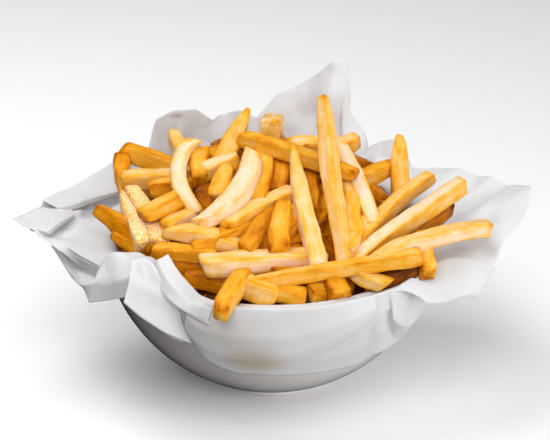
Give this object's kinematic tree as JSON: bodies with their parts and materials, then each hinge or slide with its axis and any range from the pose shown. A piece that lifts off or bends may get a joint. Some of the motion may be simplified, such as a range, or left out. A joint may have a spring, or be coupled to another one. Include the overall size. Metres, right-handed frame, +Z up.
{
  "type": "french fries portion",
  "caption": "Heaped portion of golden french fries in a round white bowl lined with a crumpled sheet of greaseproof paper whose corners stand out past the rim.",
  "frame": {"origin": "on the bowl's axis, at the level of the flat face under its foot ring, which is also the centre of the whole portion's footprint", "axes": "+Z up; +X along the longest extent, towards the sheet's right-hand corner; -Y is the front, where the sheet folds down over the rim"},
  "size_m": [0.2466, 0.1803, 0.1419],
  "materials": {
    "glazed_porcelain": "white glaze, glossy, slightly warm",
    "greaseproof_paper": "matte white greaseproof paper, crumpled, slightly translucent",
    "fried_potato": "fried potato, pale gold to amber, lightly browned ends and edges, thin film of oil"
  },
  "bodies": {
    "root": {"bowl": "glazed_porcelain", "paper_liner": "greaseproof_paper", "fries_heap": "fried_potato"}
  },
  "joints": []
}
